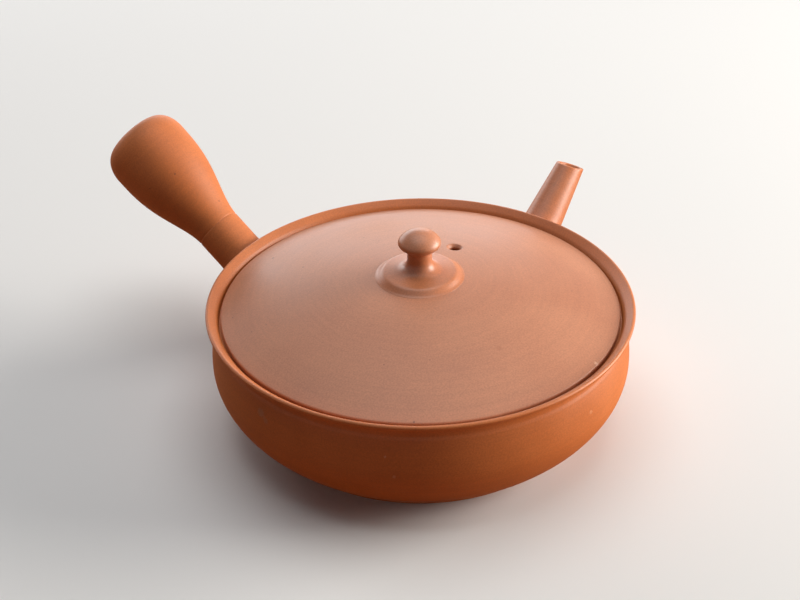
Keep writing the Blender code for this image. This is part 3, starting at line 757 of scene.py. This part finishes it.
def steam_hole(profile, face_count, under_count):
    """The steam hole: windows in the face and the underside and the rings that line the hole."""
    middle = VENT_TURN / TURN * LID_STEPS
    left = int(round(middle - VENT_STEPS / 2))
    right = left + VENT_STEPS
    radial = np.array([math.cos(VENT_TURN), math.sin(VENT_TURN)])
    sideways = np.array([-math.sin(VENT_TURN), math.cos(VENT_TURN)])
    under_first = len(profile) - under_count
    face = np.arange(face_count)
    under = np.arange(under_first, len(profile))[::-1]
    windows, ends = [], []
    for stations, rim_radius, way in ((face, VENT_RIM, 1), (under, VENT_EXIT, -1)):
        nearest = int(round(np.interp(VENT_PLACE, profile[stations, 0], stations)))
        place = (left, right, nearest - way * VENT_ROWS, nearest + way * VENT_ROWS)
        loop = window(*place)
        theta = np.arctan2(
            profile[loop[1], 0] - VENT_PLACE, (loop[0] * TURN / LID_STEPS - VENT_TURN) * VENT_PLACE
        )
        around = np.cos(theta)[:, None] * sideways + np.sin(theta)[:, None] * radial
        point = VENT_PLACE * radial + rim_radius * around
        rim = (
            np.arctan2(point[:, 1], point[:, 0]),
            np.interp(np.hypot(point[:, 0], point[:, 1]), profile[stations, 0], stations),
        )
        windows.append(place)
        ends.append((easing(profile, LID_STEPS, loop, rim, 6), around))
    lining = np.array(VENT_LINING)[:, :, None, None] * MM
    flat = VENT_PLACE * radial + lining[:, 0] * ends[0][1]
    height = lid_top(np.hypot(flat[..., 0], flat[..., 1])) - lining[:, 1, :, 0]
    bore = np.concatenate([flat, height[..., None]], axis=-1)
    return windows[0], windows[1], np.concatenate([ends[0][0], bore, ends[1][0][::-1]])


# Burnt iron specks and a faint brown patch on the lid's face, and a pale scuff near its edge.
LID_MARKS = (
    ((-8.1, 59.9, 46.5), 0.9, "#4A2416", 0.8), ((-12.8, 41.8, 51.0), 0.7, "#5A2E1C", 0.6),
    ((-57.9, -37.8, 43.5), 0.8, "#5A2E1C", 0.7), ((-16.8, -43.1, 50.4), 2.0, "#9A5836", 0.35),
    ((2.1, -69.0, 43.4), 1.4, "#E9C4A6", 0.5), ((-30.5, -12.0, 53.6), 0.6, "#6A3A26", 0.5),
)
lid_clay = red_stoneware(
    "burnished_red_stoneware_lid", LID_CLAY_WITH_SHEEN, PALE_CLAY_AND_SHEEN, ridges=0.008, marks_of_use=LID_MARKS
)
LID_PROFILE, face_points, under_points = lid_profile()
points, faces = turned_solid(LID_PROFILE, LID_STEPS, steam_hole(LID_PROFILE, face_points, under_points))
clay_piece("domed_lid", points, faces, lid_clay, "lid", "lid")


# Locating ring. A turned collar luted under the lid, which keeps it from sliding off when the
# pot is tipped to pour.
RING_LOW, RING_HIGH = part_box("lid_ring")
RING_OUTER = RING_HIGH.x
RING_INNER = RING_OUTER - 3.0 * MM
RING_ROUND = 0.8 * MM
RING_TUCK = 0.1 * MM


def ring_rows():
    """Rows of the ring: down its outside, round its foot, up its inside and under the lid."""
    top = lid_top(np.array([RING_OUTER, RING_INNER])) - LID_THICKNESS + RING_TUCK
    outer_foot, inner_foot = (RING_OUTER, RING_LOW.z), (RING_INNER, RING_LOW.z)
    outside = np.linspace((RING_OUTER, top[0]), (RING_OUTER, RING_LOW.z + RING_ROUND), 8)[:-1]
    inside = np.linspace((RING_INNER, RING_LOW.z + RING_ROUND), (RING_INNER, top[1]), 8)[1:]
    profile = np.vstack([
        outside,
        corner(outside[-1], outer_foot, inner_foot, RING_ROUND),
        corner(outer_foot, inner_foot, inside[0], RING_ROUND),
        inside,
    ])
    angle = np.linspace(0.0, TURN, LID_STEPS, endpoint=False)
    return turned(profile, angle[None, :], np.arange(len(profile))[:, None])


ring_clay = red_stoneware("turned_red_stoneware_ring", LID_CLAY_WITH_SHEEN, PALE_CLAY_AND_SHEEN)
points, faces = luted_tube(ring_rows())
clay_piece("locating_ring", points, faces, ring_clay, "lid_ring", "lid")


# Knob. Turned from one lump on top of the lid: a disc that beds on the dome, a waisted stem, a
# small collar and a head like a thick lens, all burnished to a soft shine. Brow and chin are the
# angles in degrees at which the head's two faces stop short of its rounded equator.
KNOB_STEPS = 128
KNOB_BASE = lid_top(0.0) + 0.3 * MM
DISC_RADIUS = 14.85 * MM
DISC_TOP_RADIUS = 12.9 * MM
DISC_TOP = lid_top(DISC_RADIUS) + 2.0 * MM
DISC_ROUND = 0.8 * MM
COVE_TURN = (DISC_RADIUS, lid_top(DISC_RADIUS) + 0.25 * MM)
COVE_RADIUS = DISC_RADIUS + 0.7 * MM
COVE_CUT = 0.6 * MM
COVE_LIFT = 0.02 * MM
SOLE_DIP = 0.1 * MM
STEM_RADIUS = 4.3 * MM
STEM_FOOT = KNOB_BASE + 5.6 * MM
FLARE_TURN = (4.8 * MM, KNOB_BASE + 2.1 * MM)
FLARE_END = (8.6 * MM, DISC_TOP + 0.45 * MM)
COLLAR_RADIUS = 4.9 * MM
COLLAR_HEIGHT = 0.6 * MM
COLLAR_DROP = 0.5 * MM
COLLAR_EDGE = 0.12 * MM
COLLAR_ROUND = 0.25 * MM
HEAD_RADIUS = 7.85 * MM
HEAD_BROW = 20.0
HEAD_CHIN = 25.0
EQUATOR = KNOB_BASE + 11.9 * MM
DOME_HEIGHT = 4.7 * MM
HEAD_UNDER = 4.8 * MM
HEAD_ROUND = 1.5 * MM


def knob_profile():
    """Profile of the knob from the top of its head down to the middle of its bed on the lid."""
    brow, chin = math.radians(HEAD_BROW), math.radians(HEAD_CHIN)
    dome_height = DOME_HEIGHT / (1 - math.sin(brow))
    dome_radii = (HEAD_RADIUS / math.cos(brow), dome_height)
    dome = arc((0.0, EQUATOR - dome_height * math.sin(brow)), dome_radii, 90, HEAD_BROW, 34)
    under_radii = (HEAD_RADIUS / math.cos(chin), HEAD_UNDER)
    under_end = math.degrees(math.acos(COLLAR_RADIUS / under_radii[0]))
    under = arc((0.0, EQUATOR + HEAD_UNDER * math.sin(chin)), under_radii, -HEAD_CHIN, -under_end, 16)
    collar_top = under[-1]
    collar_low = (COLLAR_RADIUS, collar_top[1] - COLLAR_HEIGHT)
    stem_top = (STEM_RADIUS, collar_low[1] - COLLAR_DROP)
    stem = np.linspace(stem_top, (STEM_RADIUS, STEM_FOOT), 12)
    share = np.linspace(0.0, 1.0, 24)[1:, None]
    foot, turn, end = (np.array(point) for point in ((STEM_RADIUS, STEM_FOOT), FLARE_TURN, FLARE_END))
    flare = foot * (1 - share) ** 2 + turn * 2 * share * (1 - share) + end * share**2
    disc_edge = (DISC_TOP_RADIUS, DISC_TOP)
    cove_end = (COVE_RADIUS, lid_top(COVE_RADIUS) + COVE_LIFT)
    bed = np.linspace(COVE_RADIUS, 0.0, 22)
    sole = np.stack([bed, lid_top(bed) - SOLE_DIP], axis=-1)
    return np.vstack([
        dome[:-7],
        corner(dome[-8], (HEAD_RADIUS, EQUATOR), under[5], HEAD_ROUND, 16),
        under[5:-1],
        corner(under[-3], collar_top, collar_low, COLLAR_EDGE, 4),
        corner(collar_top, collar_low, stem_top, COLLAR_ROUND, 5),
        corner(collar_low, stem_top, stem[-1], COLLAR_ROUND, 5),
        stem[2:],
        flare[:-1],
        corner(end, disc_edge, COVE_TURN, DISC_ROUND, 8),
        corner(disc_edge, COVE_TURN, cove_end, COVE_CUT, 8),
        cove_end,
        sole,
    ])


knob_clay = red_stoneware(
    "burnished_red_stoneware_knob", BODY_CLAY, PALE_CLAY_AND_SHEEN, roughness=(0.32, 0.42), ridges=0.006
)
points, faces = turned_solid(knob_profile(), KNOB_STEPS)
clay_piece("turned_knob", points, faces, knob_clay, "lid_knob", "lid")


# Table top. A plain pale sheet under the pot. The camera sees it pale, and paler still away from
# the pot, and the pot is lit from below by a darker, warmer one, as from a wooden table.
FLOOR_HALF = 8.0
FLOOR_SEEN = "#E6E5E4"
FLOOR_SEEN_FAR = "#F3F2F0"
FLOOR_GIVEN = "#A06C48"
FADE_START = 0.3
FADE_END = 1.1


def pale_floor():
    """One square, whose colour for the camera is pale and for the pot's own light is warm."""
    mesh = bpy.data.meshes.new("table_top")
    signs = ((-1, -1), (1, -1), (1, 1), (-1, 1))
    corners = [(across * FLOOR_HALF, along * FLOOR_HALF, 0) for across, along in signs]
    mesh.from_pydata(corners, [], [(0, 1, 2, 3)])
    floor = bpy.data.objects.new("table_top", mesh)
    bpy.context.scene.collection.objects.link(floor)
    material = bpy.data.materials.new("matt_pale_table")
    material.use_nodes = True
    tree = material.node_tree
    seen = add(tree, "LightPath").outputs["Is Camera Ray"]
    color = add(
        tree, "Mix", {0: seen}, {"data_type": "RGBA"}, _6=linear(FLOOR_GIVEN), _7=linear(FLOOR_SEEN)
    ).outputs[2]
    matt = tree.nodes["Principled BSDF"]
    tree.links.new(color, matt.inputs["Base Color"])
    matt.inputs["Roughness"].default_value = 0.8
    place = add(tree, "TexCoord").outputs["Object"]
    away = add(tree, "VectorMath", {0: place}, {"operation": "LENGTH"}).outputs["Value"]
    far = add(
        tree, "MapRange", {"Value": away}, {"interpolation_type": "SMOOTHSTEP"},
        From_Min=FADE_START, From_Max=FADE_END,
    ).outputs[0]
    plain = add(tree, "Math", {0: far, 1: seen}, {"operation": "MULTIPLY"}).outputs[0]
    glow = add(tree, "Emission", Color=linear(FLOOR_SEEN_FAR), Strength=1.0).outputs[0]
    sheet = add(tree, "MixShader", {0: plain, 1: matt.outputs[0], 2: glow}).outputs[0]
    tree.links.new(sheet, tree.nodes["Material Output"].inputs["Surface"])
    mesh.materials.append(material)


pale_floor()


# Light. A window low on the camera's right, a white wall behind the pot, a soft ceiling over it,
# and the light of a white room all round.
def soft_lamp(name, azimuth, elevation, distance, size, power, color):
    """A rectangular lamp at a direction in degrees from the pot, aimed at the pot."""
    lamp = bpy.data.lights.new(name, "AREA")
    lamp.shape, lamp.size, lamp.size_y, lamp.energy = "RECTANGLE", size[0], size[1], power
    lamp.color = linear(color)[:3]
    holder = bpy.data.objects.new(name, lamp)
    bpy.context.scene.collection.objects.link(holder)
    turn, rise = math.radians(azimuth), math.radians(elevation)
    away = Vector((math.cos(turn) * math.cos(rise), math.sin(turn) * math.cos(rise), math.sin(rise)))
    holder.location = away * distance
    holder.rotation_euler = away.to_track_quat("Z", "Y").to_euler()


soft_lamp("window", -47.0, 14.0, 1.3, (0.8, 0.8), 33.0, "#FFFAF2")
soft_lamp("white_wall", 55.0, 12.0, 1.3, (1.6, 0.7), 9.5, "#FFFFFF")
soft_lamp("ceiling", 35.0, 80.0, 1.3, (1.2, 1.2), 9.0, "#FFFFFF")


ROOM_FILL = 0.04
ROOM_WHITE = "#F7F8FA"


def white_room():
    """The room: white where the camera or a reflection sees it, and a soft fill as light."""
    world = bpy.data.worlds.new("white_room")
    bpy.context.scene.world = world
    world.use_nodes = True
    tree = world.node_tree
    path = add(tree, "LightPath")
    seen = path.outputs["Is Camera Ray"]
    for ray in ("Is Glossy Ray", "Is Transmission Ray"):
        seen = add(tree, "Math", {0: seen, 1: path.outputs[ray]}, {"operation": "MAXIMUM"}).outputs[0]
    strength = add(tree, "MapRange", {"Value": seen}, To_Min=ROOM_FILL, To_Max=1.0).outputs[0]
    tree.nodes["Background"].inputs["Color"].default_value = linear(ROOM_WHITE)
    tree.links.new(strength, tree.nodes["Background"].inputs["Strength"])


white_room()
bpy.context.scene.view_settings.view_transform = "Standard"


# Camera, at the photograph's angle: 32 degrees down on the pot, from its left front corner.
CAMERA_PLACE = (-365.08 * MM, -255.63 * MM, 324.68 * MM)
CAMERA_HEADING = math.radians(-54.1)
CAMERA_DOWN = math.radians(32.09)
CAMERA_ROLL = math.radians(-1.043)
CAMERA_LENS = 67.5
CAMERA_SENSOR = 36.0


def photo_camera():
    """A camera turned by its heading about Z, then its tilt, then its roll about its own axis."""
    data = bpy.data.cameras.new("photo_camera")
    data.lens, data.sensor_width = CAMERA_LENS, CAMERA_SENSOR
    data.clip_start, data.clip_end = 0.01, 20.0
    camera = bpy.data.objects.new("photo_camera", data)
    bpy.context.scene.collection.objects.link(camera)
    camera.matrix_world = (
        Matrix.Translation(CAMERA_PLACE)
        @ Matrix.Rotation(CAMERA_HEADING, 4, "Z")
        @ Matrix.Rotation(math.pi / 2 - CAMERA_DOWN, 4, "X")
        @ Matrix.Rotation(CAMERA_ROLL, 4, "Z")
    )
    bpy.context.scene.camera = camera


photo_camera()
